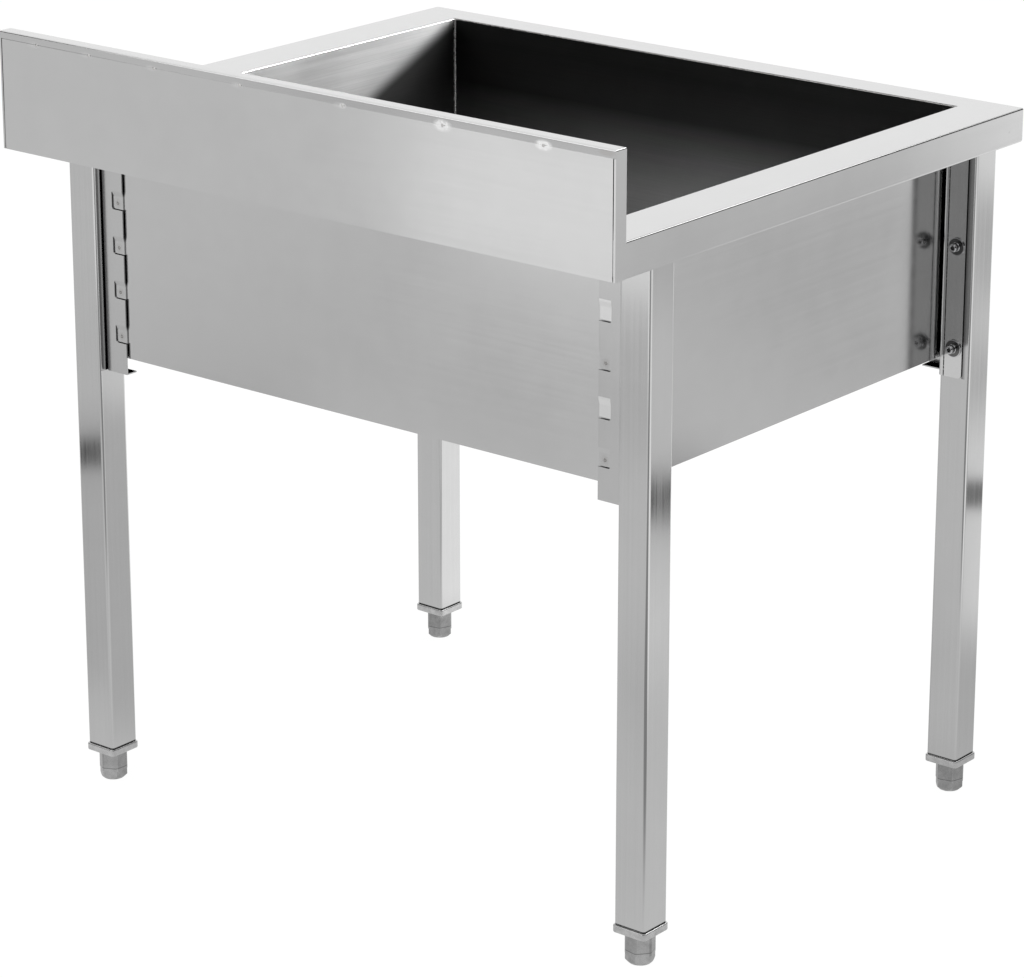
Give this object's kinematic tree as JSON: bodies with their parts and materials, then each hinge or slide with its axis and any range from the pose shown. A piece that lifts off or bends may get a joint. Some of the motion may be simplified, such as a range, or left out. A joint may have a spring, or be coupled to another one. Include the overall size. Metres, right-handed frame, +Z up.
{
  "type": "free-standing stainless steel sink",
  "caption": "Stainless steel sink on square legs: deep rectangular bowl in a folded rim with a back upstand, bolted leg brackets, levelling feet and a waste with a lift-out strainer.",
  "frame": {"origin": "on the floor, under the middle of the rim", "axes": "+Z up, +Y to the back (the upstand side), X along the upstand"},
  "size_m": [0.9, 0.78, 0.955],
  "materials": {
    "rim_steel": "fine satin stainless sheet, grain along each fold",
    "bowl_steel": "fine satin stainless sheet, faint mottling",
    "leg_steel": "satin stainless square tube, grain along the tube",
    "bracket_steel": "plain mill-finish stainless sheet with weld marks",
    "fastener_steel": "bright stainless screws and washers",
    "foot_metal": "matt grey cast metal",
    "waste_steel": "polished stainless",
    "seal_rubber": "black rubber"
  },
  "bodies": {
    "sink": {"rim_top": "rim_steel", "upstand_cover": "rim_steel", "bowl_front_wall": "bowl_steel", "bowl_back_wall": "bowl_steel", "bowl_left_wall": "bowl_steel", "bowl_right_wall": "bowl_steel", "bowl_floor": "bowl_steel", "waste_body": "waste_steel", "waste_locknut": "waste_steel", "waste_upper_seal": "seal_rubber", "waste_lower_seal": "seal_rubber", "leg_screws": "fastener_steel", "leg_washers": "fastener_steel", "leg_spring_washers": "fastener_steel", "leg_weld_nuts": "fastener_steel", "leg_front_left": "leg_steel", "bracket_front_left": "bracket_steel", "plug_front_left": "foot_metal", "leg_front_right": "leg_steel", "bracket_front_right": "bracket_steel", "plug_front_right": "foot_metal", "leg_back_left": "leg_steel", "bracket_back_left": "bracket_steel", "plug_back_left": "foot_metal", "leg_back_right": "leg_steel", "bracket_back_right": "bracket_steel", "plug_back_right": "foot_metal"},
    "strainer": {"strainer_basket": "waste_steel"},
    "front_left_foot": {"foot_front_left": "foot_metal", "foot_stud_front_left": "fastener_steel"},
    "front_right_foot": {"foot_front_right": "foot_metal", "foot_stud_front_right": "fastener_steel"},
    "back_left_foot": {"foot_back_left": "foot_metal", "foot_stud_back_left": "fastener_steel"},
    "back_right_foot": {"foot_back_right": "foot_metal", "foot_stud_back_right": "fastener_steel"}
  },
  "joints": [
    {"name": "front_left_foot_screw", "type": "slide", "parent": "sink", "child": "front_left_foot", "axis": [0, 0, 1], "range_m": [-0.025, 0]},
    {"name": "front_right_foot_screw", "type": "slide", "parent": "sink", "child": "front_right_foot", "axis": [0, 0, 1], "range_m": [-0.025, 0]},
    {"name": "back_left_foot_screw", "type": "slide", "parent": "sink", "child": "back_left_foot", "axis": [0, 0, 1], "range_m": [-0.025, 0]},
    {"name": "back_right_foot_screw", "type": "slide", "parent": "sink", "child": "back_right_foot", "axis": [0, 0, 1], "range_m": [-0.025, 0]},
    {"name": "strainer_lift", "type": "slide", "parent": "sink", "child": "strainer", "axis": [0, 0, 1], "range_m": [0, 0.06]}
  ]
}
